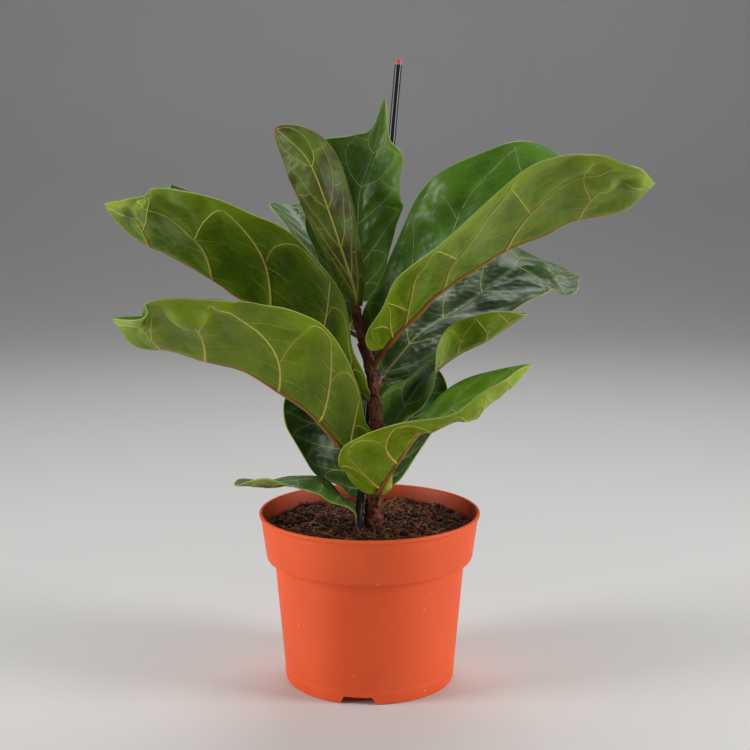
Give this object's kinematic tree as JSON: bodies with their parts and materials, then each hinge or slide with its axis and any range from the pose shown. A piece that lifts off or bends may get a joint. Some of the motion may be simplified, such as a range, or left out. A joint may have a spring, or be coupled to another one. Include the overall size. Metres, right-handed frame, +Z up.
{
  "type": "potted fiddle leaf fig",
  "caption": "Young fiddle leaf fig with broad veined leaves on a short woody stem, planted in peat in a tapered round nursery pot with a support stake.",
  "frame": {"origin": "centre of the pot's underside, on the surface it stands on", "axes": "+Z up along the pot's axis, -Y towards the front of the plant, +X to the right seen from the front"},
  "size_m": [0.2768, 0.1643, 0.3353],
  "materials": {
    "pot_plastic": "matte",
    "peat": "rough",
    "bark": "rough",
    "stake_plastic": "gloss",
    "leaf": "waxy",
    "young_leaf": "waxy",
    "stipule": "matte"
  },
  "bodies": {
    "root": {"end_bud": "stipule", "leaf_back_left": "leaf", "leaf_bottom_left": "leaf", "leaf_low_left_back": "leaf", "leaf_low_right": "leaf", "leaf_low_right_back": "leaf", "leaf_lower_left": "leaf", "leaf_right_back": "leaf", "leaf_right_middle": "leaf", "leaf_top": "leaf", "leaf_upper_left": "leaf", "leaf_upper_right": "leaf", "leaf_young": "young_leaf", "pot": "pot_plastic", "soil": "peat", "stake": "stake_plastic", "stem": "bark", "stipule_low": "stipule", "stipule_middle": "stipule", "stipule_upper": "stipule"}
  },
  "joints": []
}
